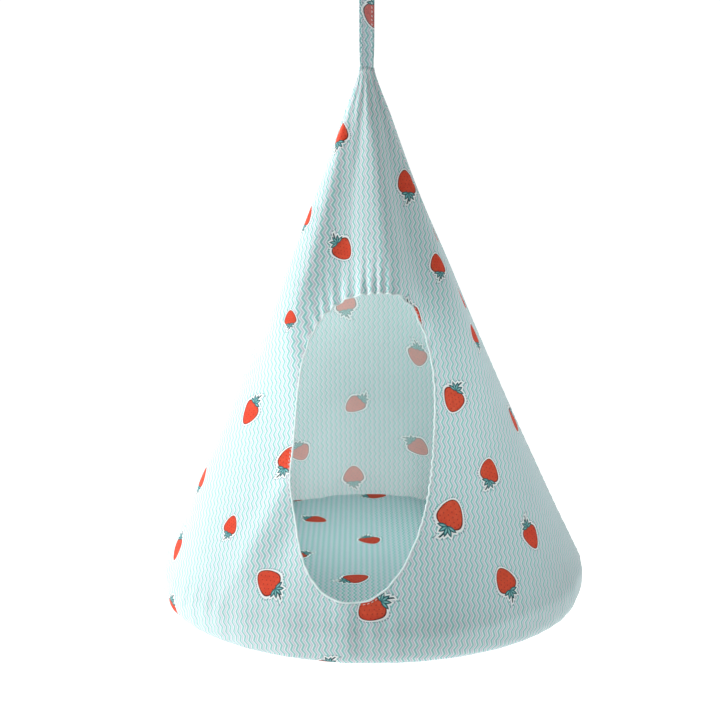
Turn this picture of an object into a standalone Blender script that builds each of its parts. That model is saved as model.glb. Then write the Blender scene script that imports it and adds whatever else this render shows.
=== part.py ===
"""Hanging fabric pod: a printed cotton cone with an oval doorway over a thick round floor pad.

It hangs by a sewn strap from a swivel snap hook. The origin is the inside of the hook's bow, where a
ceiling hook bears on it. +Z is up, the doorway faces -Y, and everything below the hook is at negative Z.
"""
import math

import bmesh
import bpy
from mathutils import Matrix, Vector

# ---------------------------------------------------------------- driving dimensions, in metres
CLEARANCE = 0.0003          # gap between neighbouring pieces
AROUND = 48                 # facets round every large turned piece

WIRE_RADIUS = 0.0035        # snap hook stock
BOW_RADIUS = 0.012          # centreline radius of the hook's two rounded ends
BOW_CENTRE_Z = WIRE_RADIUS - BOW_RADIUS
FOOT_CENTRE_Z = -0.038      # centre of the lower rounded end, level with the gate's pivot
BOSS_RADIUS = 0.0075
BOSS_TOP_Z = -0.0455
BOSS_BOTTOM_Z = -0.058
STEM_RADIUS = 0.003
HEAD_RADIUS = 0.0052
HEAD_ROOM = 0.0012          # depth of the washer's seat under the swivel's head
GATE_RADIUS = 0.0032
GATE_TOP_Z = -0.0115
RIVET_RADIUS = 0.0011

EYE_HALF_WIDTH = 0.013      # centreline of the eye's side arms
EYE_CORNER = 0.0045
EYE_WIRE = 0.0025
EYE_TOP_Z = -0.066
BAR_Z = -0.082              # the straight bar that the strap turns on

STRAP_WIDTH = 0.013
WEBBING_THICKNESS = 0.001
COVER_THICKNESS = 0.0007
STRAP_DROP = 0.086          # from the bar down to the tip of the cone
STRAP_TAIL = 0.022          # sewn length inside the cone
LOOP_NECK = 0.014           # below the bar, where the strap's two legs meet

CONE_HEIGHT = 0.464         # from the pad's mid plane up to the cone's tip
TIP_RADIUS = 0.0081
RIM_RADIUS = 0.197          # widest radius, half of the 0.394 m base
RIM_ROUND = 0.023           # the wall's bend round the pad's edge
WALL_SAG = 0.0095           # how far the wall is drawn in between tip and rim
CLOTH = 0.0008
HALF_SPLIT = 0.00025        # half of the gap between the front and back panels

DOOR_HALF_WIDTH = 0.0605
DOOR_HALF_HEIGHT = 0.121
DOOR_CENTRE = 0.151         # above the pad's mid plane
DOOR_ROUNDNESS = 2.6        # 2 is an ellipse, more is squarer
DOOR_LEAN = 0.017           # how far the sill lies to the left of the head
BINDING_RADIUS = 0.0014
TAPE_WIDTH = 0.006

BOARD_THICKNESS = 0.0025
PAD_EDGE_ROUND = 0.0186
PAD_RADIUS = 0.1945
PAD_COVER = 0.0008

APEX_Z = BAR_Z - STRAP_DROP
PAD_Z = APEX_Z - CONE_HEIGHT            # the pad's mid plane
FLANGE_RADIUS = RIM_RADIUS - RIM_ROUND  # where the wall turns flat under the pad


# ---------------------------------------------------------------- scene and helpers
for old in list(bpy.data.objects):
    bpy.data.objects.remove(old)


def new_collection(name):
    collection = bpy.data.collections.new(name)
    bpy.context.scene.collection.children.link(collection)
    return collection


PARTS = new_collection("hanging_pod")
CUTTERS = new_collection("cutters")


def material(name, hex_colour, roughness, metallic=0.0):
    """A Principled material from an sRGB hex colour."""
    def linear(pair):
        value = int(pair, 16) / 255
        return value / 12.92 if value <= 0.04045 else ((value + 0.055) / 1.055) ** 2.4
    made = bpy.data.materials.new(name)
    made.use_nodes = True
    shader = made.node_tree.nodes["Principled BSDF"]
    colour = [linear(hex_colour[i:i + 2]) for i in (0, 2, 4)]
    shader.inputs["Base Color"].default_value = (*colour, 1)
    shader.inputs["Roughness"].default_value = roughness
    shader.inputs["Metallic"].default_value = metallic
    return made


PRINT_OUTSIDE = material("printed_cotton", "CFE3E4", 0.9)
PRINT_INSIDE = material("printed_cotton_back", "C3DCD6", 0.9)
COTTON_TAPE = material("cotton_tape", "E6EFEE", 0.85)
WEBBING = material("cotton_webbing", "DDE6E6", 0.85)
FOAM = material("polyurethane_foam", "F2EFE4", 0.95)
BOARD = material("polypropylene_board", "E9ECEC", 0.5)
ZINC = material("nickel_plated_zinc", "C9CCCE", 0.28, 1.0)
STEEL = material("stainless_steel", "BFC3C6", 0.3, 1.0)


def place(thing, finish, smooth_angle=40):
    """Links an object to the part with its material and smooth shading."""
    PARTS.objects.link(thing)
    thing.data.materials.clear()
    thing.data.materials.append(finish)
    if thing.type == "MESH":
        thing.data.shade_smooth()
        thing.data.set_sharp_from_angle(angle=math.radians(smooth_angle))
    return thing


def as_cutter(thing):
    """Links an object as a hidden cutter or guide."""
    CUTTERS.objects.link(thing)
    thing.hide_render = True
    thing.display_type = "WIRE"
    return thing


def boolean(target, tool, operation="DIFFERENCE"):
    cut = target.modifiers.new(operation.lower(), "BOOLEAN")
    cut.operation = operation
    cut.object = tool


def profile_object(name, profile, closed):
    """A chain of edges in the XZ plane, from (radius, height) pairs."""
    mesh = bpy.data.meshes.new(name)
    count = len(profile)
    edges = [(i, i + 1) for i in range(count - 1)]
    if closed:
        edges.append((count - 1, 0))
    mesh.from_pydata([(r, 0, z) for r, z in profile], edges, [])
    return bpy.data.objects.new(name, mesh)


def turn(thing, angle=2 * math.pi, steps=AROUND):
    """Turns a profile about Z."""
    screw = thing.modifiers.new("turn", "SCREW")
    screw.angle = angle
    screw.steps = screw.render_steps = steps
    screw.use_merge_vertices = angle > 6.2
    screw.merge_threshold = 0.0001
    screw.use_normal_calculate = False
    return thing


def turned(name, profile, steps=AROUND):
    """A solid or ring from a closed profile that runs down its outer side first."""
    return turn(profile_object(name, profile, closed=True), steps=steps)


def thicken(thing, thickness, offset=-1.0):
    solid = thing.modifiers.new("cloth", "SOLIDIFY")
    solid.thickness = thickness
    solid.offset = offset
    solid.use_even_offset = True


def disc(radius, low, high):
    """A closed profile for a flat round plate: across the top, down the edge, back to the axis."""
    return [(0, high), (radius, high), (radius, low), (0, low)]


def solid_of_revolution(name, profile, steps):
    """A solid whose open profile starts and ends on the axis."""
    return turn(profile_object(name, profile, closed=False), steps=steps)


def cylinder(name, radius, start, end, sides=24):
    """A closed cylinder from one point to another."""
    mesh = bpy.data.meshes.new(name)
    shape = bmesh.new()
    axis = Vector(end) - Vector(start)
    bmesh.ops.create_cone(shape, cap_ends=True, segments=sides, radius1=radius, radius2=radius,
                          depth=axis.length)
    shape.to_mesh(mesh)
    shape.free()
    turned_by = axis.to_track_quat("Z", "Y").to_matrix().to_4x4()
    turned_by.translation = (Vector(start) + Vector(end)) / 2
    mesh.transform(turned_by)
    return bpy.data.objects.new(name, mesh)


def block(name, low, high):
    """A closed box between two corners."""
    mesh = bpy.data.meshes.new(name)
    shape = bmesh.new()
    bmesh.ops.create_cube(shape, size=1)
    low, high = Vector(low), Vector(high)
    bmesh.ops.scale(shape, vec=high - low, verts=shape.verts)
    bmesh.ops.translate(shape, vec=(low + high) / 2, verts=shape.verts)
    shape.to_mesh(mesh)
    shape.free()
    return bpy.data.objects.new(name, mesh)


def wire(name, points, radius, cyclic=False, sides_level=2):
    """A round wire along a chain of points."""
    curve = bpy.data.curves.new(name, "CURVE")
    curve.dimensions = "3D"
    curve.bevel_depth = radius
    curve.bevel_resolution = sides_level
    curve.use_fill_caps = True
    spline = curve.splines.new("POLY")
    spline.points.add(len(points) - 1)
    for knot, place_at in zip(spline.points, points):
        knot.co = (*place_at, 1)
    spline.use_cyclic_u = cyclic
    return bpy.data.objects.new(name, curve)


def meshed(curve_object):
    """The same shape as a closed mesh object, so that it can be cut or joined."""
    bpy.context.scene.collection.objects.link(curve_object)
    graph = bpy.context.evaluated_depsgraph_get()
    graph.update()
    mesh = bpy.data.meshes.new_from_object(curve_object.evaluated_get(graph))
    shape = bmesh.new()
    shape.from_mesh(mesh)
    bmesh.ops.remove_doubles(shape, verts=shape.verts, dist=0.00002)
    bmesh.ops.recalc_face_normals(shape, faces=shape.faces)
    shape.to_mesh(mesh)
    shape.free()
    name = curve_object.name
    bpy.data.objects.remove(curve_object)
    return bpy.data.objects.new(name, mesh)


def flat_outline(name, outline, half_width):
    """A flat curve of one or more closed loops of (y, z) pairs, thickened across its plane."""
    curve = bpy.data.curves.new(name, "CURVE")
    curve.dimensions = "2D"
    curve.fill_mode = "BOTH"
    curve.extrude = half_width
    for loop in outline:
        spline = curve.splines.new("POLY")
        spline.points.add(len(loop) - 1)
        for knot, (y, z) in zip(spline.points, loop):
            knot.co = (y, z, 0, 1)
        spline.use_cyclic_u = True
    return bpy.data.objects.new(name, curve)


def swept_band(name, line, width_axis, width):
    """An open band: a chain of points swept along an axis."""
    mesh = bpy.data.meshes.new(name)
    shape = bmesh.new()
    edge = [shape.verts.new(p) for p in line]
    for a, b in zip(edge, edge[1:]):
        shape.edges.new((a, b))
    swept = bmesh.ops.extrude_edge_only(shape, edges=shape.edges[:])
    moved = [v for v in swept["geom"] if isinstance(v, bmesh.types.BMVert)]
    bmesh.ops.translate(shape, vec=Vector(width_axis) * width, verts=moved)
    shape.to_mesh(mesh)
    shape.free()
    return bpy.data.objects.new(name, mesh)


def arc(centre, radius, first, last, count):
    """Points on an arc, angles in degrees from the first axis towards the second."""
    turns = [math.radians(first + (last - first) * i / (count - 1)) for i in range(count)]
    return [(centre[0] + radius * math.cos(a), centre[1] + radius * math.sin(a)) for a in turns]


# ---------------------------------------------------------------- snap hook: body, rivet, gate, spring
def make_snap_hook():
    """An oval link, open where the gate closes it, with a boss for the swivel."""
    bow = arc((0, BOW_CENTRE_Z), BOW_RADIUS, -8, 180, 14)
    foot = arc((0, FOOT_CENTRE_Z), BOW_RADIUS, 180, 328, 12)
    path = [(x, 0, z) for x, z in bow + foot]
    body = meshed(wire("snap_hook_body", path, WIRE_RADIUS))
    boss = as_cutter(cylinder("boss", BOSS_RADIUS, (0, 0, BOSS_BOTTOM_Z), (0, 0, BOSS_TOP_Z)))
    boolean(body, boss, "UNION")
    tongue = as_cutter(cylinder("pivot_tongue", 0.0031, (BOW_RADIUS, -0.0012, FOOT_CENTRE_Z),
                                (BOW_RADIUS, 0.0012, FOOT_CENTRE_Z)))
    neck = as_cutter(block("pivot_neck", (BOW_RADIUS - 0.0045, -0.0011, FOOT_CENTRE_Z - 0.0078),
                           (BOW_RADIUS + 0.0022, 0.0011, FOOT_CENTRE_Z - 0.0003)))
    boolean(body, neck, "UNION")
    boolean(body, tongue, "UNION")
    swivel_bore = as_cutter(cylinder("swivel_bore", STEM_RADIUS + CLEARANCE,
                                     (0, 0, BOSS_BOTTOM_Z - 0.01), (0, 0, BOSS_TOP_Z + 0.0035)))
    boolean(body, swivel_bore)
    head_room = as_cutter(cylinder("head_room", HEAD_RADIUS + 0.0008, (0, 0, BOSS_TOP_Z - HEAD_ROOM),
                                   (0, 0, BOSS_TOP_Z + 0.008)))
    boolean(body, head_room)
    rivet_hole = as_cutter(cylinder("rivet_hole", RIVET_RADIUS + CLEARANCE,
                                    (BOW_RADIUS, -0.01, FOOT_CENTRE_Z),
                                    (BOW_RADIUS, 0.01, FOOT_CENTRE_Z)))
    boolean(body, rivet_hole)
    place(body, ZINC)

    head_y = GATE_RADIUS + CLEARANCE
    half = [(0, head_y + 0.0007), (0.0015, head_y + 0.0007), (0.0019, head_y), (RIVET_RADIUS, head_y)]
    rivet_profile = half + [(r, -y) for r, y in reversed(half)]
    rivet = solid_of_revolution("gate_rivet", rivet_profile, 20)
    rivet.location = (BOW_RADIUS, 0, FOOT_CENTRE_Z)
    rivet.rotation_euler = (math.pi / 2, 0, 0)
    place(rivet, STEEL)


def make_gate():
    """A round gate forked over the hook's tongue, with its spring in a blind bore."""
    slot_top = FOOT_CENTRE_Z + 0.0045
    profile = [(0, GATE_TOP_Z), (GATE_RADIUS - 0.001, GATE_TOP_Z), (GATE_RADIUS, GATE_TOP_Z - 0.001),
               (GATE_RADIUS, FOOT_CENTRE_Z - 0.001), (GATE_RADIUS - 0.0014, FOOT_CENTRE_Z - 0.003),
               (0, FOOT_CENTRE_Z - 0.003)]
    gate = solid_of_revolution("gate", profile, 20)
    # the object's origin is on the rivet's axis
    gate.data.transform(Matrix.Translation((0, 0, -FOOT_CENTRE_Z)))
    gate.location = (BOW_RADIUS, 0, FOOT_CENTRE_Z)
    slot = as_cutter(block("gate_slot", (BOW_RADIUS - 0.006, -0.0016, FOOT_CENTRE_Z - 0.006),
                           (BOW_RADIUS + 0.006, 0.0016, slot_top)))
    boolean(gate, slot)
    bore = as_cutter(cylinder("spring_bore", 0.002, (BOW_RADIUS, 0, slot_top - 0.001),
                              (BOW_RADIUS, 0, slot_top + 0.012)))
    boolean(gate, bore)
    hole = as_cutter(cylinder("gate_rivet_hole", RIVET_RADIUS + CLEARANCE,
                              (BOW_RADIUS, -0.01, FOOT_CENTRE_Z), (BOW_RADIUS, 0.01, FOOT_CENTRE_Z)))
    boolean(gate, hole)
    place(gate, ZINC)

    turns, per_turn, rise = 6, 9, 0.0105
    coil = []
    for i in range(turns * per_turn + 1):
        a = 2 * math.pi * i / per_turn
        height = slot_top + 0.0006 + rise * i / (turns * per_turn)
        coil.append((BOW_RADIUS + 0.00135 * math.cos(a), 0.00135 * math.sin(a), height))
    place(wire("gate_spring", coil, 0.0003, sides_level=0), STEEL)


def make_swivel_eye():
    """A D-shaped eye on a headed stem that turns in the hook's boss."""
    top, low, side = EYE_TOP_Z, BAR_Z, EYE_HALF_WIDTH
    outline = (arc((side - EYE_CORNER, low + EYE_CORNER), EYE_CORNER, -90, 0, 5)
               + arc((side - 0.008, top - 0.008), 0.008, 0, 90, 7)
               + arc((-side + 0.008, top - 0.008), 0.008, 90, 180, 7)
               + arc((-side + EYE_CORNER, low + EYE_CORNER), EYE_CORNER, 180, 270, 5))
    eye = meshed(wire("swivel_eye", [(x, 0, z) for x, z in outline], EYE_WIRE, cyclic=True))
    head_low = BOSS_TOP_Z
    stem_low = top - 0.001
    stem_profile = [(0, head_low + 0.0028), (HEAD_RADIUS - 0.001, head_low + 0.0028),
                    (HEAD_RADIUS, head_low + 0.0018), (HEAD_RADIUS, head_low), (STEM_RADIUS, head_low),
                    (STEM_RADIUS, BOSS_BOTTOM_Z - 0.001), (0.005, BOSS_BOTTOM_Z - 0.002),
                    (0.005, stem_low + 0.001), (0.0042, stem_low), (0, stem_low)]
    stem = as_cutter(solid_of_revolution("stem", stem_profile, 24))
    boolean(eye, stem, "UNION")
    place(eye, ZINC)

    washer_top = BOSS_TOP_Z - CLEARANCE
    washer_low = BOSS_TOP_Z - HEAD_ROOM + CLEARANCE
    ring = [(HEAD_RADIUS, washer_top), (HEAD_RADIUS, washer_low),
            (STEM_RADIUS + CLEARANCE, washer_low), (STEM_RADIUS + CLEARANCE, washer_top)]
    place(turned("swivel_washer", ring, 24), STEEL)


# ---------------------------------------------------------------- strap
def make_strap():
    """Cotton webbing round the bar, inside a folded strip of the printed cloth."""
    bottom = APEX_Z - STRAP_TAIL
    eye_radius = EYE_WIRE + CLEARANCE
    webbing_outer = eye_radius + WEBBING_THICKNESS
    half = WEBBING_THICKNESS
    neck = BAR_Z - LOOP_NECK
    outside = ([(-half, bottom), (-half, neck)]
               + [(-y, z) for y, z in arc((0, BAR_Z), webbing_outer, -35, 90, 10)]
               + arc((0, BAR_Z), webbing_outer, 90, -35, 10)[1:]
               + [(half, neck), (half, bottom)])
    hole = ([(0, neck + 0.003)] + arc((0, BAR_Z), eye_radius, -35, 215, 18))
    core = meshed(flat_outline("strap_webbing", [outside, hole], STRAP_WIDTH / 2))
    # a flat outline's own axes become: width along X, its x along Y, its y along Z
    core.data.transform(Matrix(((0, 0, 1, 0), (1, 0, 0, 0), (0, 1, 0, 0), (0, 0, 0, 1))))
    place(core, WEBBING, 30)

    gap = CLEARANCE + COVER_THICKNESS / 2
    mid_radius = webbing_outer + gap
    path = ([(-half - gap, bottom), (-half - gap, neck)]
            + [(-y, z) for y, z in arc((0, BAR_Z), mid_radius, -35, 90, 10)]
            + arc((0, BAR_Z), mid_radius, 90, -35, 10)[1:]
            + [(half + gap, neck), (half + gap, bottom)])
    line = [(-STRAP_WIDTH / 2, y, z) for y, z in path]
    cover = swept_band("strap_cover", line, (1, 0, 0), STRAP_WIDTH)
    thicken(cover, COVER_THICKNESS, offset=0.0)
    place(cover, PRINT_OUTSIDE, 30)


# ---------------------------------------------------------------- the cone's wall
def tangent_point():
    """Where the straight wall meets the bend round the pad's edge: (radius, height above mid plane)."""
    run, drop = FLANGE_RADIUS - TIP_RADIUS, CONE_HEIGHT
    half_angle = math.atan2(run, drop) + math.asin(RIM_ROUND / math.hypot(run, drop))
    return FLANGE_RADIUS + RIM_ROUND * math.cos(half_angle), RIM_ROUND * math.sin(half_angle), half_angle


def wall_radius(height):
    """The wall's outer radius at a height above the pad's mid plane, above the bend."""
    low_radius, low_height, _ = tangent_point()
    share = (CONE_HEIGHT - height) / (CONE_HEIGHT - low_height)
    share = min(max(share, 0.0), 1.0)
    drawn_in = WALL_SAG * math.sin(math.pi * share ** 0.75) * (1 - share) ** 0.6
    return TIP_RADIUS + (low_radius - TIP_RADIUS) * share - drawn_in


def wall_profile(inset=0.0, first=0.0, last=1.0, count=12, bend_steps=5, flange=0.0):
    """(radius, z) pairs down the wall's outside, optionally round the pad's edge and under it."""
    _, low_height, half_angle = tangent_point()
    heights = [CONE_HEIGHT + (low_height - CONE_HEIGHT) * (first + (last - first) * i / (count - 1))
               for i in range(count)]
    points = [(wall_radius(h) - inset, PAD_Z + h) for h in heights]
    if bend_steps:
        bend = arc((FLANGE_RADIUS, PAD_Z), RIM_ROUND - inset, math.degrees(half_angle), -90,
                   bend_steps + 1)
        points += bend[1:]
    if flange:
        points.append((FLANGE_RADIUS - flange, PAD_Z - RIM_ROUND + inset))
    return points


def make_wall():
    """Front and back panels, and the doorway through the front one."""
    for name, turn_by, shift, finish in (("front_panel", math.pi, -HALF_SPLIT, PRINT_OUTSIDE),
                                         ("back_panel", 0.0, HALF_SPLIT, PRINT_OUTSIDE)):
        panel = profile_object(name, wall_profile(flange=0.004), closed=False)
        turn(panel, angle=math.pi, steps=AROUND // 2)
        thicken(panel, CLOTH)
        panel.rotation_euler = (0, 0, turn_by)
        panel.location = (0, shift, 0)
        place(panel, finish)
    cutter = make_door_cutter()
    boolean(bpy.data.objects["front_panel"], cutter)


def door_outline(grow, count):
    """(x, height) pairs round the doorway: a squarish oval whose sill leans to the left."""
    points = []
    for i in range(count):
        a = 2 * math.pi * i / count
        across = math.copysign(abs(math.cos(a)) ** (2 / DOOR_ROUNDNESS), math.cos(a))
        along = math.copysign(abs(math.sin(a)) ** (2 / DOOR_ROUNDNESS), math.sin(a))
        height = DOOR_CENTRE + (DOOR_HALF_HEIGHT + grow) * along
        lean = DOOR_LEAN * ((1 - along) / 2) ** 1.6
        points.append(((DOOR_HALF_WIDTH + grow) * across - lean, height))
    return points


def make_door_cutter():
    mesh = bpy.data.meshes.new("doorway")
    shape = bmesh.new()
    outline = [shape.verts.new((x, -0.25, PAD_Z + h)) for x, h in door_outline(0.0, 44)]
    face = shape.faces.new(outline)
    pushed = bmesh.ops.extrude_face_region(shape, geom=[face])
    moved = [v for v in pushed["geom"] if isinstance(v, bmesh.types.BMVert)]
    bmesh.ops.translate(shape, vec=(0, 0.23, 0), verts=moved)
    bmesh.ops.recalc_face_normals(shape, faces=shape.faces)
    shape.to_mesh(mesh)
    shape.free()
    return as_cutter(bpy.data.objects.new("doorway", mesh))


def make_door_binding():
    """A narrow corded binding that lines the doorway's edge."""
    points = []
    for x, height in door_outline(-BINDING_RADIUS - 2 * CLEARANCE, 56):
        radius = wall_radius(height) - CLOTH / 2
        points.append((x, -math.sqrt(radius ** 2 - x ** 2), PAD_Z + height))
    place(wire("door_binding", points, BINDING_RADIUS, cyclic=True, sides_level=1), COTTON_TAPE)


def make_side_tapes():
    """Tapes inside the pod that cover the two side seams."""
    line = wall_profile(inset=CLOTH + 0.0007, first=0.13, last=0.93, count=8, bend_steps=0)
    for name, side in (("side_tape_left", -1), ("side_tape_right", 1)):
        # swept towards -Y on the right and +Y on the left, so that both bands face outwards
        edge = [(side * r, side * TAPE_WIDTH / 2, z) for r, z in line]
        tape = swept_band(name, edge, (0, -side, 0), TAPE_WIDTH)
        thicken(tape, 0.0006)
        place(tape, COTTON_TAPE)


# ---------------------------------------------------------------- floor
def make_floor():
    """Base panel, seam binding, stiffening board, and the pad with its cover."""
    base_low = PAD_Z - RIM_ROUND - 0.0005
    base_top = base_low + 0.0012
    base = disc(FLANGE_RADIUS - 0.005, base_low, base_top)
    place(solid_of_revolution("base_panel", base, AROUND), PRINT_OUTSIDE)

    seam = FLANGE_RADIUS - 0.0045
    binding_low, binding_top = base_top + CLEARANCE, base_top + CLEARANCE + 0.0008
    ring = [(seam + 0.005, binding_top), (seam + 0.005, binding_low),
            (seam - 0.005, binding_low), (seam - 0.005, binding_top)]
    place(turned("rim_binding", ring), COTTON_TAPE)

    board_low = binding_top + CLEARANCE
    board_top = board_low + BOARD_THICKNESS
    board = [(0, board_top), (0.164, board_top), (0.165, board_top - 0.0008),
             (0.165, board_low + 0.0008), (0.164, board_low), (0, board_low)]
    place(solid_of_revolution("base_board", board, AROUND), BOARD)

    pad_low = board_top + CLEARANCE
    middle = pad_low + PAD_EDGE_ROUND
    edge = PAD_RADIUS - PAD_EDGE_ROUND
    top_arc = arc((edge, middle), PAD_EDGE_ROUND, 90, 2, 5)
    low_arc = arc((edge, middle), PAD_EDGE_ROUND, -2, -90, 5)
    top = solid_of_revolution("pad_cover_top", [(0, pad_low + 2 * PAD_EDGE_ROUND)] + top_arc, AROUND)
    thicken(top, PAD_COVER)
    place(top, PRINT_OUTSIDE)
    low = solid_of_revolution("pad_cover_bottom", low_arc + [(0, pad_low)], AROUND)
    thicken(low, PAD_COVER)
    place(low, PRINT_OUTSIDE)

    inner = PAD_EDGE_ROUND - PAD_COVER - CLEARANCE
    foam = ([(0, middle + inner)] + arc((edge, middle), inner, 90, -90, 9) + [(0, middle - inner)])
    place(solid_of_revolution("pad_foam", foam, AROUND), FOAM)


make_snap_hook()
make_gate()
make_swivel_eye()
make_strap()
make_wall()
make_door_binding()
make_side_tapes()
make_floor()
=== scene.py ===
# %% [markdown]
# # A hanging pod of printed cotton
# The pod is a cone of light cotton with a tall oval doorway. A thick round pad spreads its foot, and a
# sewn strap carries it from a swivel snap hook. This lesson loads the model's fixed frame, lays the cloth
# out flat as a sewer would cut it, wraps it round the frame, and then gives every surface its finish.

# %% Load the frame
import math

import bmesh
import bpy
import numpy as np
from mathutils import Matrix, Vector


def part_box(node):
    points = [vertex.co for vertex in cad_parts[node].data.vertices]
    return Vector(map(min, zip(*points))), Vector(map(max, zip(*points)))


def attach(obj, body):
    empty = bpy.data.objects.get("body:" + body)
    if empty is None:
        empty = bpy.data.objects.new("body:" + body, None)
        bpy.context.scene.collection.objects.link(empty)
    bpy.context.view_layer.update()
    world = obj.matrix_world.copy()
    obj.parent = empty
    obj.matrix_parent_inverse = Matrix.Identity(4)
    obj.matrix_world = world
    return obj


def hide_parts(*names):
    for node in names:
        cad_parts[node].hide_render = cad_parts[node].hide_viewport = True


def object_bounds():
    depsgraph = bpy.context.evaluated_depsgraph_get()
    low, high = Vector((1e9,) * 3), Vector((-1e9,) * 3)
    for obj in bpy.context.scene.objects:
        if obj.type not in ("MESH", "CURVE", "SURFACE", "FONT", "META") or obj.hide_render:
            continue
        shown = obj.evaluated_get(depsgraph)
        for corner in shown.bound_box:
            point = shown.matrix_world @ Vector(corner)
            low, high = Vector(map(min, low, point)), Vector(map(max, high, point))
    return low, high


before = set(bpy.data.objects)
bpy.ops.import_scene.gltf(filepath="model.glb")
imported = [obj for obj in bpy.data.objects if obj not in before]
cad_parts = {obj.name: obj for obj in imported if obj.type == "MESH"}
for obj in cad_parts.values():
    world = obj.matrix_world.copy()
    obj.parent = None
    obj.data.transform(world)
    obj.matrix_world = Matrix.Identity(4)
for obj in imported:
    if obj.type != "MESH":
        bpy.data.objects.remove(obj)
cad_low, cad_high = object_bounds()
bpy.ops.object.select_all(action="DESELECT")
print("CAD box:", [round(x, 4) for x in (*cad_low, *cad_high)])

# %% [markdown]
# The pod's measures are read back from the frame: the wall's rim, the tip and the middle of the pad's
# edge. The wall isn't a straight cone. It is drawn in a little between tip and rim, as hung cloth is.

# %% Measures of the wall
RIM_ROUND = 0.023            # the cloth's bend round the pad's edge
TIP_RADIUS = 0.0081
WALL_SAG = 0.0095
CLOTH = 0.0006               # thickness of the cotton
FLANGE_WIDTH = 0.002         # the wall's flat edge that is sewn to the base
UNDER_BEND = 2 / 3.4         # 1 is a circle: below its middle the bend is squarer
wall_low, wall_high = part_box("back_panel")
RIM_RADIUS = wall_high.x
PAD_MIDDLE = wall_low.z + RIM_ROUND
CONE_HEIGHT = wall_high.z - PAD_MIDDLE
FLANGE_RADIUS = RIM_RADIUS - RIM_ROUND
run = FLANGE_RADIUS - TIP_RADIUS
HALF_ANGLE = math.atan2(run, CONE_HEIGHT) + math.asin(RIM_ROUND / math.hypot(run, CONE_HEIGHT))
BEND_RADIUS = FLANGE_RADIUS + RIM_ROUND * math.cos(HALF_ANGLE)
BEND_HEIGHT = RIM_ROUND * math.sin(HALF_ANGLE)
print("rim", round(RIM_RADIUS, 4), "cone", round(CONE_HEIGHT, 4))
print("half angle", round(math.degrees(HALF_ANGLE), 1), "degrees")


def wall_radius(height):
    """The wall's outer radius at heights above the pad's middle, down to the bend."""
    share = np.clip((CONE_HEIGHT - height) / (CONE_HEIGHT - BEND_HEIGHT), 0, 1)
    drawn_in = WALL_SAG * np.sin(math.pi * share ** 0.75) * (1 - share) ** 0.6
    return TIP_RADIUS + (BEND_RADIUS - TIP_RADIUS) * share - drawn_in


def wall_line():
    """Distance down the cloth, radius and height, from the tip, round the bend, to the sewn flange."""
    heights = np.linspace(CONE_HEIGHT, BEND_HEIGHT, 160)
    turns = np.linspace(HALF_ANGLE, -math.pi / 2, 60)[1:]
    power = np.where(turns < 0, UNDER_BEND, 1)
    bend_out = RIM_ROUND * np.abs(np.cos(turns)) ** power
    bend_up = RIM_ROUND * np.sign(turns) * np.abs(np.sin(turns)) ** power
    radius = np.concatenate([wall_radius(heights), FLANGE_RADIUS + bend_out,
                             [FLANGE_RADIUS - FLANGE_WIDTH]])
    height = np.concatenate([heights, bend_up, [-RIM_ROUND]])
    along = np.concatenate([[0], np.cumsum(np.hypot(np.diff(radius), np.diff(height)))])
    return along, radius, height


LINE_ALONG, LINE_RADIUS, LINE_HEIGHT = wall_line()
WALL_LENGTH = LINE_ALONG[-1]
LEAN = 0.0055                # the foot hangs this far to the right of the strap
CORNER_LIFT = 0.0055         # the foot's right corner is pulled up this far
LIFT_FROM, LIFT_WIDTH = 0.168, 0.029   # where the lift begins, and how much of the width it takes


def hang(points):
    """Lets points hang unevenly: the foot leans to the right, and its right corner is pulled up."""
    points = np.array(points, float)
    points[:, 2] += CORNER_LIFT * np.clip((points[:, 0] - LIFT_FROM) / LIFT_WIDTH, 0, 1) ** 1.5
    points[:, 0] += LEAN * np.clip((wall_high.z - points[:, 2]) / CONE_HEIGHT, 0, 1)
    return points


print("cloth from tip to flange:", round(WALL_LENGTH, 4), "m")

# %% [markdown]
# The camera comes first. It stands 1.4 m in front of the pod, level with the tip, and looks down a
# little, so the doorway shows both the back wall and the floor pad.

# %% Camera
camera = bpy.data.objects.new("camera", bpy.data.cameras.new("camera"))
bpy.context.scene.collection.objects.link(camera)
bpy.context.scene.camera = camera
LOOK_DOWN = 11.13            # degrees
camera.data.lens = 77.25
camera.data.sensor_width = 36
camera.location = (-0.006, -1.40, PAD_MIDDLE + 0.474)
camera.rotation_euler = (math.radians(90 - LOOK_DOWN), 0, 0)
camera.data.clip_start = 0.05
print("camera at", [round(x, 3) for x in camera.location])

# %% [markdown]
# Materials first need three small tools: hex colours turned to linear, a helper that adds a node with
# its settings and links, and a new material with its shader.

# %% Helpers for materials


def linear(hex_colour):
    """An sRGB hex colour as linear red, green, blue and alpha."""
    parts = [int(hex_colour[i:i + 2], 16) / 255 for i in (0, 2, 4)]
    return (*[p / 12.92 if p <= 0.04045 else ((p + 0.055) / 1.055) ** 2.4 for p in parts], 1)


def add_node(tree, kind, inputs=None, **settings):
    """Adds a node, sets it, fills or links its inputs, and returns its first live output."""
    node = tree.nodes.new(kind)
    for key, value in settings.items():
        setattr(node, key, value)
    for key, value in (inputs or {}).items():
        if isinstance(value, bpy.types.NodeSocket):
            tree.links.new(value, node.inputs[key])
        else:
            node.inputs[key].default_value = value
    return next(socket for socket in node.outputs if socket.enabled)


def new_material(name, roughness, **constants):
    """A Principled material, its node tree and its shader node."""
    material = bpy.data.materials.new(name)
    material.use_nodes = True
    shader = material.node_tree.nodes["Principled BSDF"]
    shader.inputs["Roughness"].default_value = roughness
    for key, value in constants.items():
        shader.inputs[key.replace("_", " ")].default_value = value
    return material, material.node_tree, shader


print("mid grey 808080 is", round(linear("808080")[0], 3), "of full white in linear light")

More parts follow.
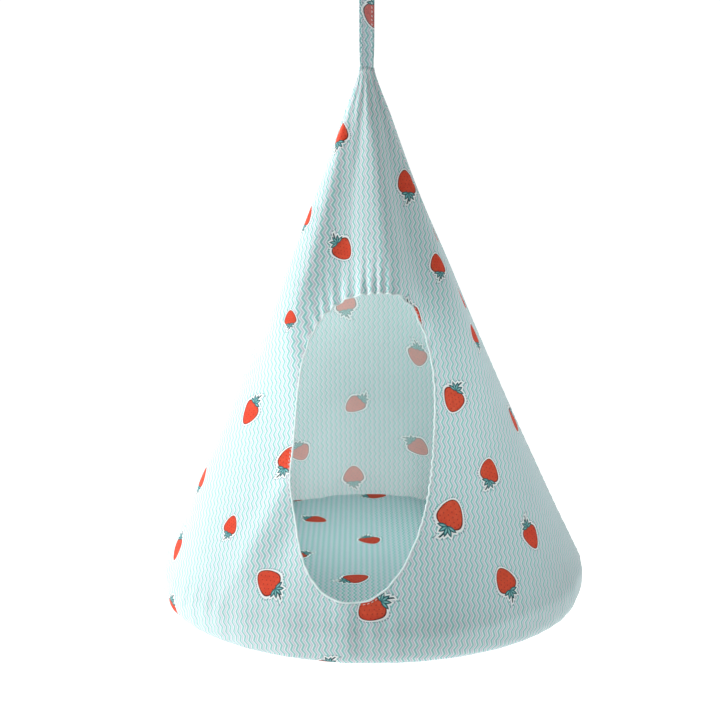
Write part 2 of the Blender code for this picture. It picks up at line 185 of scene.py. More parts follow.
# %% [markdown]
# The setting is a plain white studio. The floor is lit from below like a light table, so that it stays
# pale. The surround is white behind the pod and dimmer in front, so light comes through the thin cloth,
# and there is room for the key light, a soft lamp on the left that bleaches that side. A narrow lamp
# shines in through the doorway, and a small one inside the cone lights the pad.

# %% Stage and light
bpy.context.scene.view_settings.view_transform = "Standard"
bpy.ops.mesh.primitive_plane_add(size=60, location=(0, 0, cad_low.z - 0.6))
floor = bpy.context.object
floor.name = "studio_floor"
pale, _, shader = new_material("pale_studio_floor", 0.9)
shader.inputs["Base Color"].default_value = linear("F4F4F4")
shader.inputs["Emission Color"].default_value = (1, 1, 1, 1)
shader.inputs["Emission Strength"].default_value = 0.45
floor.data.materials.append(pale)

world = bpy.data.worlds.new("studio")
bpy.context.scene.world = world
world.use_nodes = True
sky = world.node_tree
direction = add_node(sky, "ShaderNodeTexCoord").node.outputs["Generated"]
depth = add_node(sky, "ShaderNodeVectorMath", {0: direction, 1: (-0.42, 0.9, 0.0)},
                 operation="DOT_PRODUCT").node.outputs["Value"]
white = add_node(sky, "ShaderNodeMapRange", {"Value": depth, "From Min": -0.75, "From Max": 0.7,
                                             "To Min": 0.30, "To Max": 1.07})
# seen directly, the surround is white all round, so no horizon shows behind the pod
seen = add_node(sky, "ShaderNodeLightPath").node.outputs["Is Camera Ray"]
strength = add_node(sky, "ShaderNodeMath", {0: white, 1: seen}, operation="MAXIMUM")
sky.links.new(strength, sky.nodes["Background"].inputs["Strength"])
sky.nodes["Background"].inputs["Color"].default_value = (1, 1, 1, 1)


def new_lamp(name, kind, place, target, power):
    """A lamp that shines from its place at a target."""
    lamp = bpy.data.objects.new(name, bpy.data.lights.new(name, kind))
    bpy.context.scene.collection.objects.link(lamp)
    lamp.data.energy = power
    lamp.location = place
    lamp.rotation_euler = (Vector(target) - Vector(place)).to_track_quat("-Z", "Y").to_euler()
    return lamp


key_light = new_lamp("key_light", "AREA", (-2.0, -0.30, PAD_MIDDLE + 0.80), (0, 0, PAD_MIDDLE + 0.2), 35)
key_light.data.size = 0.5
doorway_lamp = new_lamp("doorway_lamp", "SPOT", (0.05, -2.0, PAD_MIDDLE + 1.45),
                        (-0.01, -0.12, PAD_MIDDLE + 0.16), 78)
doorway_lamp.data.spot_size = math.radians(6.8)
doorway_lamp.data.spot_blend = 1.0
doorway_lamp.data.shadow_soft_size = 0.08
inner_lamp = new_lamp("inner_lamp", "AREA", (0, 0, PAD_MIDDLE + 0.31), (0, 0, PAD_MIDDLE), 0.135)
inner_lamp.data.size = 0.04
inner_lamp.data.spread = math.radians(125)
inner_lamp.data.color = (0.80, 1.0, 0.97)
inner_lamp.visible_camera = False

# %% [markdown]
# The print is drawn on the flat cloth. Every cloth piece carries two maps. "cloth" is the flat cut in
# metres, so the zigzags keep their real size. "berry" gives each face its place on the nearest printed
# strawberry, in millimetres, with the stem along +Y, so one drawing serves every berry.
# The berry's outline is arithmetic: an egg for the body, five leaves folded into one by their angle,
# and a curved stem. Each step below is one Math node: name, operation, and its terms.

# %% The print's arithmetic
BODY_A, BODY_B = 10.8, 12.0        # half width and half length of the body, in mm
LEAF_ANGLE = 0.70                  # radians between leaves
ZIGZAG_LENGTH, ZIGZAG_DEPTH = 0.0084, 0.0025   # one zigzag down the cloth and across it, in metres
STRIPE_PAIR = 0.0051               # one teal and one lilac stripe, in metres
PRINT_STEPS = [
    # zigzag stripes: x is moved by a triangle wave of y
    ("zy", "MULTIPLY", "cloth_y", 1 / ZIGZAG_LENGTH), ("zf", "FRACT", "zy"), ("zc", "SUBTRACT", "zf", 0.5),
    ("za", "ABSOLUTE", "zc"), ("zig", "MULTIPLY_ADD", "za", 2 * ZIGZAG_DEPTH, "cloth_x"),
    ("stripe", "MULTIPLY", "zig", 1 / STRIPE_PAIR), ("stripe_share", "FRACT", "stripe"),
    # body: an egg that is wide at the calyx
    ("taper", "MULTIPLY_ADD", "y", 0.032, 1.0),
    ("half", "MULTIPLY", "taper", BODY_A), ("nx", "DIVIDE", "x", "half"), ("nx2", "MULTIPLY", "nx", "nx"),
    ("ny", "DIVIDE", "y", BODY_B), ("nya", "ABSOLUTE", "ny"), ("ny2", "POWER", "nya", 2.5),
    ("egg2", "ADD", "nx2", "ny2"), ("egg", "SQRT", "egg2"), ("body", "MULTIPLY_ADD", "egg", 10.5, -10.5),
    # five leaves round the calyx, folded into one by their angle
    ("ly", "SUBTRACT", "y", 10.4), ("xx", "MULTIPLY", "x", "x"), ("yy", "MULTIPLY", "ly", "ly"),
    ("rr", "ADD", "xx", "yy"), ("r", "SQRT", "rr"), ("angle", "ARCTAN2", "x", "ly"),
    ("i0", "DIVIDE", "angle", LEAF_ANGLE), ("i1", "ROUND", "i0"), ("i2", "MINIMUM", "i1", 2.0),
    ("i", "MAXIMUM", "i2", -2.0), ("own", "MULTIPLY", "i", -LEAF_ANGLE), ("turn", "ADD", "angle", "own"),
    ("cos", "COSINE", "turn"), ("u", "MULTIPLY", "r", "cos"), ("sin", "SINE", "turn"),
    ("v", "MULTIPLY", "r", "sin"), ("va", "ABSOLUTE", "v"), ("ue", "MULTIPLY_ADD", "u", 1 / 4.9, -0.86),
    ("ue2", "MULTIPLY", "ue", "ue"), ("blade", "MULTIPLY_ADD", "ue2", 1.75, -1.75),
    ("leaf", "ADD", "va", "blade"),
    # the stem, a short curved stroke
    ("stem_x", "MULTIPLY_ADD", "yy", -0.032, "x"), ("stem_a", "ABSOLUTE", "stem_x"),
    ("stem_w", "SUBTRACT", "stem_a", 0.8), ("stem_top", "SUBTRACT", "ly", 11.0),
    ("stem_1", "MAXIMUM", "stem_w", "stem_top"), ("below", "MULTIPLY", "ly", -1.0),
    ("stem", "MAXIMUM", "stem_1", "below"), ("green", "MINIMUM", "leaf", "stem"),
    ("shape", "MINIMUM", "body", "green"),
    # halo, dotted line, outlines
    ("is_halo", "LESS_THAN", "shape", 1.5), ("ring", "SUBTRACT", "shape", 2.3),
    ("ring_a", "ABSOLUTE", "ring"), ("is_ring", "LESS_THAN", "ring_a", 0.45),
    ("around", "ARCTAN2", "x", "y"), ("dots", "MULTIPLY", "around", 6.4),
    ("dot_share", "FRACT", "dots"), ("is_dot", "LESS_THAN", "dot_share", 0.5),
    ("is_dotted", "MULTIPLY", "is_ring", "is_dot"), ("is_body", "LESS_THAN", "body", 0.0),
    ("is_flesh", "LESS_THAN", "body", -0.9), ("is_green", "LESS_THAN", "green", 0.0),
    ("is_leaf", "LESS_THAN", "leaf", -0.75), ("is_rib", "LESS_THAN", "leaf", -1.35),
    # seeds on a brick lattice inside the body
    ("sr", "MULTIPLY", "y", 1 / 3.5), ("row", "FLOOR", "sr"), ("srf", "FRACT", "sr"),
    ("shift", "MULTIPLY", "row", 0.5), ("sc", "MULTIPLY_ADD", "x", 1 / 4.3, "shift"),
    ("scf", "FRACT", "sc"),
    ("sx", "SUBTRACT", "scf", 0.5), ("sy", "SUBTRACT", "srf", 0.5), ("sx2", "MULTIPLY", "sx", "sx"),
    ("sy2", "MULTIPLY", "sy", "sy"), ("sxs", "MULTIPLY", "sx2", 1.9), ("s2", "ADD", "sxs", "sy2"),
    ("is_spot", "LESS_THAN", "s2", 0.03), ("is_inner", "LESS_THAN", "body", -1.8),
    ("is_seed", "MULTIPLY", "is_spot", "is_inner"),
]
print("the print takes", len(PRINT_STEPS), "steps of arithmetic")

# %% [markdown]
# The printed cotton is a plain weave of dull fibres, so it is rough, with a faint sheen of loose ends.
# Its reverse shows the same print through the threads, much paler.

# %% Printed cotton and its reverse
WHITE, TEAL, LILAC = "EDF6F7", "8BC4C2", "C6C6D3"
THREAD_GAP = 0.0009                # drawn coarser than the real 0.3 mm, so that the weave shows
WAVE_SCALE = math.pi / 10          # a Wave node's Scale for one band per metre


def printed_cotton(name, fade, ground, through):
    """The print on cotton. fade is how far the print is lost in the ground colour, from 0 to 1, and
    through is the share of light that passes into the cloth."""
    material, tree, shader = new_material(name, 0.9, Sheen_Weight=0.04, Sheen_Roughness=0.5,
                                          Specular_IOR_Level=0.15, Subsurface_Weight=through,
                                          Subsurface_Radius=(1, 1, 1), Subsurface_Scale=0.003)
    values = {}
    for map_name, first, second in (("cloth", "cloth_x", "cloth_y"), ("berry", "x", "y")):
        place = add_node(tree, "ShaderNodeUVMap", uv_map=map_name)
        split = add_node(tree, "ShaderNodeSeparateXYZ", {0: place}).node
        values[first], values[second] = split.outputs[0], split.outputs[1]
    for result, operation, *terms in PRINT_STEPS:
        inputs = {i: values.get(t, t) if isinstance(t, str) else t for i, t in enumerate(terms)}
        values[result] = add_node(tree, "ShaderNodeMath", inputs, operation=operation)

    stripes = add_node(tree, "ShaderNodeValToRGB", {0: values["stripe_share"]})
    ramp = stripes.node.color_ramp
    stops = [(0.0, WHITE), (0.10, TEAL), (0.40, TEAL), (0.50, WHITE), (0.60, LILAC), (0.84, LILAC),
             (0.94, WHITE)]
    while len(ramp.elements) < len(stops):
        ramp.elements.new(0.5)
    for element, (position, colour) in zip(ramp.elements, stops):
        element.position = position
        element.color = linear(colour)
    flesh = add_node(tree, "ShaderNodeTexNoise", {"Scale": 260.0, "Detail": 2.0, "Vector": add_node(
        tree, "ShaderNodeUVMap", uv_map="cloth")})
    red = add_node(tree, "ShaderNodeMix", {0: flesh, 6: linear("BE2C1C"), 7: linear("E05032")},
                   data_type="RGBA")
    colour = stripes
    layers = [("is_dotted", "6E9196"), ("is_halo", "FAFCFB"), ("is_body", "5A130E"), ("is_flesh", red),
              ("is_seed", "A1241A"), ("is_green", "153C42"), ("is_leaf", "437F82"), ("is_rib", "86BDBA")]
    for mask, paint in layers:
        over = linear(paint) if isinstance(paint, str) else paint
        colour = add_node(tree, "ShaderNodeMix", {0: values[mask], 6: colour, 7: over}, data_type="RGBA")
    if fade:
        colour = add_node(tree, "ShaderNodeMix", {0: fade, 6: colour, 7: linear(ground)}, data_type="RGBA")
    tree.links.new(colour, shader.inputs["Base Color"])

    # plain weave: two sets of threads
    threads = []
    for direction in ("X", "Y"):
        threads.append(add_node(tree, "ShaderNodeTexWave", {
            "Vector": add_node(tree, "ShaderNodeUVMap", uv_map="cloth"), "Scale": WAVE_SCALE / THREAD_GAP,
            "Distortion": 1.5, "Detail": 1.0, "Detail Scale": 2.0},
            bands_direction=direction).node.outputs[1])
    weave = add_node(tree, "ShaderNodeMath", {0: threads[0], 1: threads[1]}, operation="MULTIPLY")
    bump = add_node(tree, "ShaderNodeBump", {"Strength": 0.25, "Distance": 0.0003, "Height": weave})
    # washed cotton is also crinkled, in creases some 6 mm apart
    crinkle = add_node(tree, "ShaderNodeTexNoise", {
        "Vector": add_node(tree, "ShaderNodeUVMap", uv_map="cloth"), "Scale": 160.0, "Detail": 3.0,
        "Distortion": 0.6})
    bump = add_node(tree, "ShaderNodeBump", {"Strength": 0.5, "Distance": 0.0016, "Height": crinkle,
                                             "Normal": bump})
    tree.links.new(bump, shader.inputs["Normal"])
    return material


PRINT_FACE = printed_cotton("printed_cotton_face", 0.0, WHITE, 1.0)
PRINT_BACK = printed_cotton("printed_cotton_reverse", 0.36, "DCF2ED", 1.0)
# the strap's print is faded 0.42 towards dark grey-teal 627F83: painted shade that darkens the whole strap
PRINT_STRAP_PAINTED_SHADE = printed_cotton("printed_cotton_strap_painted_shade", 0.42, "627F83", 0.0)
print("printed cotton:", PRINT_FACE.name, PRINT_BACK.name)

# %% [markdown]
# The first cloth tool lays a grid of faces and sends each of its points to a place. A grid is the natural
# start for a sheet: its columns and rows are the warp and weft. The flat place of each point goes into
# the "cloth" map, and the berries are then shared out by nearest centre.

# %% Cloth tools


def select_only(piece):
    """Makes piece the one selected and active object."""
    bpy.ops.object.select_all(action="DESELECT")
    piece.select_set(True)
    bpy.context.view_layer.objects.active = piece


def vertex_array(mesh):
    """The mesh's points as rows of x, y and z."""
    found = np.zeros(len(mesh.vertices) * 3)
    mesh.vertices.foreach_get("co", found)
    return found.reshape(-1, 3)


def make_cloth_map(mesh, flat):
    """The "cloth" map: every corner takes the flat place of its point, in metres."""
    layer = mesh.uv_layers.new(name="cloth")
    corner = np.zeros(len(mesh.loops), np.int32)
    mesh.loops.foreach_get("vertex_index", corner)
    layer.data.foreach_set("uv", np.asarray(flat, np.float32)[corner].ravel())


def grid_piece(name, columns, rows, place, close_columns=False):
    """A grid primitive whose points are sent to place(u, v), which returns 3-D points and flat ones."""
    bpy.ops.object.select_all(action="DESELECT")
    bpy.ops.mesh.primitive_grid_add(x_subdivisions=columns, y_subdivisions=rows, size=2)
    piece = bpy.context.object
    piece.name = piece.data.name = name
    square = (vertex_array(piece.data) + 1) / 2
    points, flat = place(square[:, 0], square[:, 1])
    piece.data.vertices.foreach_set("co", np.asarray(points, float).ravel())
    while piece.data.uv_layers:
        piece.data.uv_layers.remove(piece.data.uv_layers[0])
    make_cloth_map(piece.data, flat)
    if close_columns:
        shape = bmesh.new()
        shape.from_mesh(piece.data)
        bmesh.ops.remove_doubles(shape, verts=shape.verts, dist=0.00002)
        shape.to_mesh(piece.data)
        shape.free()
    piece.data.update()
    return piece


def print_berries(piece, berries):
    """Fills the berry map: each face's corners, seen from its nearest berry, in mm with +Y to the stem."""
    mesh = piece.data
    count = len(mesh.loops)
    flat = np.zeros(count * 2, np.float32)
    mesh.uv_layers["cloth"].data.foreach_get("uv", flat)
    flat = flat.reshape(-1, 2) * 1000
    starts, totals = np.zeros(len(mesh.polygons), np.int32), np.zeros(len(mesh.polygons), np.int32)
    mesh.polygons.foreach_get("loop_start", starts)
    mesh.polygons.foreach_get("loop_total", totals)
    face_of = np.repeat(np.arange(len(totals)), totals)
    middle = np.add.reduceat(flat, starts, axis=0) / totals[:, None]
    centres = np.array([(x, y) for x, y, _, _ in berries], float)
    nearest = np.linalg.norm(middle[:, None] - centres[None], axis=2).argmin(1)[face_of]
    turn = np.radians(np.array([b[2] for b in berries], float))[nearest]
    size = np.array([b[3] for b in berries], float)[nearest]
    away = (flat - centres[nearest]) / size[:, None]
    # the stem points turn degrees clockwise from straight up
    local = np.stack([away[:, 0] * np.cos(turn) - away[:, 1] * np.sin(turn),
                      away[:, 0] * np.sin(turn) + away[:, 1] * np.cos(turn)], axis=1)
    layer = mesh.uv_layers.new(name="berry")
    layer.data.foreach_set("uv", local.astype(np.float32).ravel())


def thicken(piece, thickness, offset, inner_material=0):
    """Gives a sheet its thickness: offset -1 is inwards, 0 is both ways."""
    solid = piece.modifiers.new("thickness", "SOLIDIFY")
    solid.thickness, solid.offset, solid.material_offset = thickness, offset, inner_material
    select_only(piece)
    bpy.ops.object.modifier_apply(modifier=solid.name)


def give_cloth_thickness(piece, face, reverse):
    """Thickens a sheet inwards. Its outside keeps the face material, its inside gets the reverse."""
    piece.data.materials.append(face)
    piece.data.materials.append(reverse)
    thicken(piece, CLOTH, -1, 1)
    piece.data.shade_smooth()


def face_outwards(piece, outward):
    """Turns the piece's faces over if most of them look away from outward(points)."""
    mesh = piece.data
    centres, normals = np.zeros(len(mesh.polygons) * 3), np.zeros(len(mesh.polygons) * 3)
    mesh.polygons.foreach_get("center", centres)
    mesh.polygons.foreach_get("normal", normals)
    way = outward(centres.reshape(-1, 3))
    if (way * normals.reshape(-1, 3)).sum() < 0:
        mesh.flip_normals()


def from_axis(points):
    """Directions straight out from the pod's vertical axis, and down at the foot."""
    away = points.copy()
    away[:, 2] = np.where(points[:, 2] < PAD_MIDDLE - 0.02, -0.3, 0)
    return away

# %% [markdown]
# The wall's folds are shape, not paint: strips of the cone pull straight between the strap and the rim,
# and the cloth between them goes slack. The function below says how far each point of the wall stands
# out from the plain cone. A ridge is a smooth bump across the angle, and it fades along the cloth.

# %% Folds of the wall


def smooth_step(value, first, last):
    """0 before first, 1 after last, smooth between."""
    share = np.clip((value - first) / (last - first), 0, 1)
    return share * share * (3 - 2 * share)


def bump_at(angle, centre, width):
    """A smooth ridge of height 1 across an angle in degrees, wrapped round the circle."""
    away = (angle - centre + 180) % 360 - 180
    return np.exp(-(away / width) ** 2)


def ridge(angle, centre, left, right):
    """A ridge of height 1 that rises over left degrees and drops over right degrees."""
    away = (angle - centre + 180) % 360 - 180
    return np.exp(-(away / np.where(away < 0, left, right)) ** 2)


def soft_waves(angle, along):
    """A gentle unevenness of hung cotton, from a few crossing waves, about 1 high."""
    a = np.radians(angle)
    return (np.sin(3 * a + 9 * along + 0.7) + np.sin(5 * a - 17 * along + 2.1)
            + 0.7 * np.sin(8 * a + 31 * along) + 0.5 * np.sin(13 * a - 23 * along + 1.3)) / 3.2


def seam_angle(side, along):
    """The side seams lie at a right angle to the doorway, but near the tip they turn to the left."""
    return side * 89.9 - 28 * (1 - smooth_step(along, 0.04, 0.30))


def wall_folds(angle, along):
    """How far the wall stands out from the plain cone, in metres."""
    radius = np.interp(along, LINE_ALONG, LINE_RADIUS)
    scale = np.minimum(radius, 0.11)
    upper = smooth_step(along, 0.015, 0.07) * (1 - smooth_step(along, 0.20, 0.33))
    low = smooth_step(along, 0.06, 0.18) * (1 - smooth_step(along, 0.40, 0.49))
    crease = np.interp(along, [0.05, 0.25, 0.36], [-47, -43, -32])
    folds = scale * upper * (0.120 * ridge(angle, crease, 26, 8) - 0.080 * bump_at(angle, -19, 13)
                             + 0.095 * bump_at(angle, 14, 13) - 0.050 * bump_at(angle, 38, 12)
                             + 0.040 * bump_at(angle, 64, 15))
    # a slack diagonal crease from the doorway's left edge down to the rim
    diagonal = -27 - (along - 0.36) * 120
    start = smooth_step(along, 0.33, 0.38)
    folds += 0.0042 * bump_at(angle, diagonal, 5) * start * (1 - smooth_step(along, 0.43, 0.49))
    folds -= 0.0034 * bump_at(angle, diagonal + 9, 6) * start * (1 - smooth_step(along, 0.42, 0.48))
    # the doubled cloth of a placket under the doorway, between two rows of stitches
    placket = smooth_step(along, 0.43, 0.45) * (1 - smooth_step(along, 0.515, 0.53))
    folds += 0.0015 * placket * (smooth_step(angle, -10.6, -9.4) - smooth_step(angle, -5.9, -4.7))
    # the side seams draw the cloth in
    for side in (1, -1):
        seam = seam_angle(side, along)
        tight = smooth_step(along, 0.02, 0.10) * (1 - smooth_step(along, 0.49, 0.52))
        folds -= 0.0007 * tight * bump_at(angle, seam, 1.3)
        folds += 0.00035 * tight * np.sin(along * 700 + 2 * np.sin(along * 90)) * bump_at(angle, seam, 4)
    # broad strips between the strap and the rim, all the way round, weaker over the doorway
    low = low * (1 - 0.7 * bump_at(angle, -12, 48))
    folds += 0.0016 * low * np.cos(np.radians(6 * angle + 25)) + 0.0018 * low * soft_waves(angle, along)
    # gathers at the tip
    tip = smooth_step(along, 0.0, 0.02) * (1 - smooth_step(along, 0.03, 0.11))
    folds += 0.0006 * tip * np.cos(np.radians(13 * angle))
    # short wrinkles where the cloth is eased round the rim
    rim = smooth_step(along, 0.455, 0.50) * (1 - smooth_step(along, 0.515, 0.53))
    folds += 0.0004 * rim * np.cos(np.radians(46 * angle) + 3 * np.sin(np.radians(7 * angle)))
    return folds


def on_wall(angle, along, out=0.0):
    """3-D points on the wall at an angle in degrees (0 faces the viewer) and a distance from the tip."""
    radius = np.interp(along, LINE_ALONG, LINE_RADIUS)
    height = np.interp(along, LINE_ALONG, LINE_HEIGHT)
    ahead = np.clip(along + 0.002, 0, WALL_LENGTH)
    behind = np.clip(along - 0.002, 0, WALL_LENGTH)
    run_r = np.interp(ahead, LINE_ALONG, LINE_RADIUS) - np.interp(behind, LINE_ALONG, LINE_RADIUS)
    run_z = np.interp(ahead, LINE_ALONG, LINE_HEIGHT) - np.interp(behind, LINE_ALONG, LINE_HEIGHT)
    length = np.hypot(run_r, run_z) + 1e-9
    shift = wall_folds(angle, along) + out
    radius = radius + shift * -run_z / length
    height = height + shift * run_r / length
    a = np.radians(angle)
    # the tip is sewn flat over the strap
    flat = 1 - smooth_step(along, 0.0, 0.045)
    x, y = radius * np.sin(a) * (1 - 0.17 * flat), -radius * np.cos(a) * (1 - 0.66 * flat)
    return hang(np.stack([x, y, PAD_MIDDLE + height], axis=1))


def flat_cut(angle, along, centre=0.0):
    """Where a point of the wall lies on the flat panel, in metres, with the grain down the middle."""
    slant = along + TIP_RADIUS / math.sin(HALF_ANGLE)
    swing = np.radians(angle - centre) * math.sin(HALF_ANGLE)
    return np.stack([slant * np.sin(swing), -slant * np.cos(swing)], axis=1)


fold_heights = wall_folds(*np.meshgrid(np.linspace(-180, 180, 181), np.linspace(0, WALL_LENGTH, 100)))
print("folds, m from the plain cone:", round(fold_heights.min(), 4), "to", round(fold_heights.max(), 4))

# %% [markdown]
# The doorway is a squarish oval whose sill leans left. The front panel grows outwards from that edge:
# its innermost row of points is the doorway and its outermost row is the panel's cut edge, so no face is
# ever cut across and the hem can follow the cloth exactly.

# %% The doorway's line
DOOR_HALF_WIDTH, DOOR_HALF_HEIGHT, DOOR_CENTRE = 0.0605, 0.121, 0.151
HEAD_ROUNDNESS, SILL_ROUNDNESS, DOOR_LEAN = 2.7, 2.25, 0.0196


def door_line(count=720):
    """Angle and distance from the tip of points round the doorway, anticlockwise from the right."""
    a = np.linspace(0, 2 * math.pi, count, endpoint=False)
    power = 2 / np.where(np.sin(a) > 0, HEAD_ROUNDNESS, SILL_ROUNDNESS)
    across = np.sign(np.cos(a)) * np.abs(np.cos(a)) ** power
    up = np.sign(np.sin(a)) * np.abs(np.sin(a)) ** power
    height = DOOR_CENTRE + DOOR_HALF_HEIGHT * up
    x = DOOR_HALF_WIDTH * across - DOOR_LEAN * ((1 - up) / 2) ** 1.6
    angle = np.degrees(np.arcsin(x / wall_radius(height)))
    along = np.interp(-height, -LINE_HEIGHT[:160], LINE_ALONG[:160])
    return angle, along


DOOR_ANGLE, DOOR_ALONG = door_line()
DOOR_MIDDLE = (float(DOOR_ANGLE.mean()), float(DOOR_ALONG.mean()))
METRES_PER_DEGREE = 0.13 * math.pi / 180
print("doorway from", round(DOOR_ALONG.min(), 3), "to", round(DOOR_ALONG.max(), 3), "m down the cloth")


def door_edge(turn):
    """The doorway's point in a direction from its middle, turn in radians: angle and along."""
    dx = (DOOR_ANGLE - DOOR_MIDDLE[0]) * METRES_PER_DEGREE
    dy = -(DOOR_ALONG - DOOR_MIDDLE[1])
    own = np.unwrap(np.arctan2(dy, dx))
    order = np.argsort(own)
    reach = np.interp(turn, own[order], np.hypot(dx, dy)[order], period=2 * math.pi)
    uneven = 0.3 + 0.7 * np.cos(turn / 2) ** 4
    reach = reach + 0.0006 * uneven * np.sin(turn * 61 + 3 * np.sin(turn * 7) + 2 * np.sin(turn * 13))
    return (DOOR_MIDDLE[0] + reach * np.cos(turn) / METRES_PER_DEGREE,
            DOOR_MIDDLE[1] - reach * np.sin(turn))


def puckers(turn, away):
    """The hem's thread draws the cloth into small puckers, strongest over the doorway's head."""
    head = bump_at(np.degrees(turn), 88, 32)
    wave = np.sin(turn * 50 + 2.4 * np.sin(turn * 9) + 1.3 * np.sin(turn * 4))
    return (0.00018 + 0.0026 * head) * wave * np.exp(-away / 0.015)

# %% [markdown]
# The front panel is half of the cone. Its outer row runs round the panel's four sides: the tip, the right
# seam, the flange and the left seam.

# %% Front panel
AROUND_DOOR, RINGS = 512, 66


def panel_edge(u):
    """Points round the front panel's own edge, in step with directions from the doorway's middle."""
    side = np.interp(u, [0, 0.20, 0.32, 0.66, 0.90, 1.0], [1, 1, -1, -1, 1, 1])
    along = np.interp(u, [0, 0.20, 0.32, 0.66, 0.90, 1.0],
                      [DOOR_MIDDLE[1], 0, 0, WALL_LENGTH, WALL_LENGTH, DOOR_MIDDLE[1]])
    return seam_angle(side, along), along


def front_place(u, v):
    edge_angle, edge_along = panel_edge(u)
    turn = np.arctan2(-(edge_along - DOOR_MIDDLE[1]), (edge_angle - DOOR_MIDDLE[0]) * METRES_PER_DEGREE)
    hole_angle, hole_along = door_edge(turn)
    share = v ** 1.25
    angle = hole_angle + (edge_angle - hole_angle) * share
    along = hole_along + (edge_along - hole_along) * share
    away = np.hypot((angle - hole_angle) * METRES_PER_DEGREE, along - hole_along)
    points = on_wall(angle, along, puckers(turn, away))
    return points, flat_cut(angle, along)


# berries of the front panel: flat x and y in mm, the stem's turn clockwise from up, and size
FRONT_BERRIES = [
    (-31, -76, 182, 0.86), (44, -119, 172, 0.95), (-69, -146, 200, 0.85), (-27, -184, -42, 0.85),
    (74, -190, 172, 0.78), (-74, -243, 182, 0.55), (120, -246, 165, 0.8), (43, -246, -38, 0.85),
    (-126, -320, 40, 0.95), (79, -315, 22, 0.95), (113, -374, 190, 0.88), (174, -317, 20, 0.95),
    (-75, -367, 205, 0.9), (-200, -367, 200, 0.85), (-136, -420, 202, 0.7), (-229, -430, 10, 0.9),
    (70, -415, 202, 1.1), (158, -429, -30, 0.9), (120, -469, 150, 0.92), (-93, -471, 130, 0.95),
    (-2, -495, 55, 0.98), (-232, -487, 40, 0.9), (-43, -552, 20, 0.9), (-165, -240, 170, 0.9),
    (-240, -500, 0, 0.9), (62, -556, 190, 0.9), (86, -156, 20, 0.8), (120, -210, 15, 0.85),
]
front = grid_piece("front_wall", AROUND_DOOR, RINGS, front_place, close_columns=True)
face_outwards(front, from_axis)
print_berries(front, FRONT_BERRIES)
give_cloth_thickness(front, PRINT_FACE, PRINT_BACK)
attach(front, "pod")
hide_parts("front_panel")
print("front wall:", len(front.data.polygons), "faces")

# %% [markdown]
# The back panel has no doorway, so its grid simply runs from seam to seam and from tip to flange.

# %% Back panel


def back_place(u, v):
    along = WALL_LENGTH * (1 - v)
    first, last = seam_angle(1, along) + 0.2, seam_angle(-1, along) + 359.8
    angle = first + (last - first) * u
    return on_wall(angle, along), flat_cut(angle, along, 180.0)


BACK_BERRIES = [
    (24, -262, 180, 0.95), (-52, -321, 0, 0.95), (16, -389, -50, 0.9), (-52, -439, 50, 0.95),
    (18, -480, 180, 0.95), (75, -439, 20, 0.9), (100, -350, 160, 0.95), (-120, -390, 200, 0.9),
    (-60, -200, 170, 0.9), (40, -150, 20, 0.9), (-10, -95, 190, 0.85), (-140, -300, 30, 0.95),
    (160, -300, 200, 0.9), (150, -440, 10, 0.95), (-190, -450, 190, 0.95), (-120, -510, 40, 0.95),
    (90, -520, 150, 1.0), (-15, -545, 20, 0.95), (215, -400, 60, 0.95), (190, -490, 180, 0.9),
    (-230, -380, 20, 0.9), (110, -230, 90, 0.9), (-115, -255, 100, 0.9), (-260, -470, 60, 0.9),
    (270, -450, 10, 0.9), (-170, -220, 170, 0.9),
]
back = grid_piece("back_wall", 150, 150, back_place)
face_outwards(back, from_axis)
print_berries(back, BACK_BERRIES)
give_cloth_thickness(back, PRINT_FACE, PRINT_BACK)
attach(back, "pod")
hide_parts("back_panel")
print("back wall:", len(back.data.polygons), "faces")

# %% [markdown]
# The doorway's hem is the cloth's own edge turned over a cord and sewn. It is a soft flattened tube that
# follows the edge and dips between stitches, so it is made as a grid closed both ways.

# %% Plain cotton
def plain_cotton(name, hex_colour, thread, roughness=0.85):
    """Undyed or dyed cotton tape: ribs across the cloth map, thread apart in metres."""
    material, tree, shader = new_material(name, roughness, Sheen_Weight=0.2, Sheen_Roughness=0.5,
                                          Specular_IOR_Level=0.25, Subsurface_Weight=0.3,
                                          Subsurface_Radius=(1, 1, 1), Subsurface_Scale=0.001)
    place = add_node(tree, "ShaderNodeUVMap", uv_map="cloth")
    ribs = add_node(tree, "ShaderNodeTexWave", {
        "Vector": place, "Scale": WAVE_SCALE / thread, "Distortion": 1.2, "Detail": 1.0},
        bands_direction="DIAGONAL")
    mottle = add_node(tree, "ShaderNodeTexNoise", {"Vector": place, "Scale": 120.0, "Detail": 3.0})
    tone = add_node(tree, "ShaderNodeMapRange", {"Value": mottle, "To Min": 0.90, "To Max": 1.06})
    colour = add_node(tree, "ShaderNodeVectorMath", {0: linear(hex_colour)[:3], "Scale": tone},
                      operation="SCALE")
    tree.links.new(colour, shader.inputs["Base Color"])
    bump = add_node(tree, "ShaderNodeBump", {"Strength": 0.35, "Distance": 0.0003,
                                             "Height": ribs.node.outputs[1]})
    tree.links.new(bump, shader.inputs["Normal"])
    return material


HEM_COTTON = plain_cotton("pale_hem_cotton", "D3E2E2", 0.0009)
WEBBING_COTTON = plain_cotton("cotton_webbing", "DDE6E6", 0.0012)
TAPE_COTTON = plain_cotton("cotton_tape", "E6EFEE", 0.0010)
print("plain cottons:", HEM_COTTON.name, WEBBING_COTTON.name, TAPE_COTTON.name)

# %% [markdown]
# A tube is a grid whose columns run along a line and whose rows run round it. The line's own sideways
# and outward directions turn with it, so a flattened tube lies on the cloth all the way.

# %% Tubes and bands


def frame_along(points, outward):
    """Unit vectors along a closed or open line, straight out from the cloth, and across."""
    ahead = np.roll(points, -1, axis=0) - np.roll(points, 1, axis=0)
    ahead[0], ahead[-1] = points[1] - points[0], points[-1] - points[-2]
    ahead /= np.linalg.norm(ahead, axis=1)[:, None]
    out = outward - ahead * (outward * ahead).sum(1)[:, None]
    out /= np.linalg.norm(out, axis=1)[:, None]
    return ahead, out, np.cross(ahead, out)


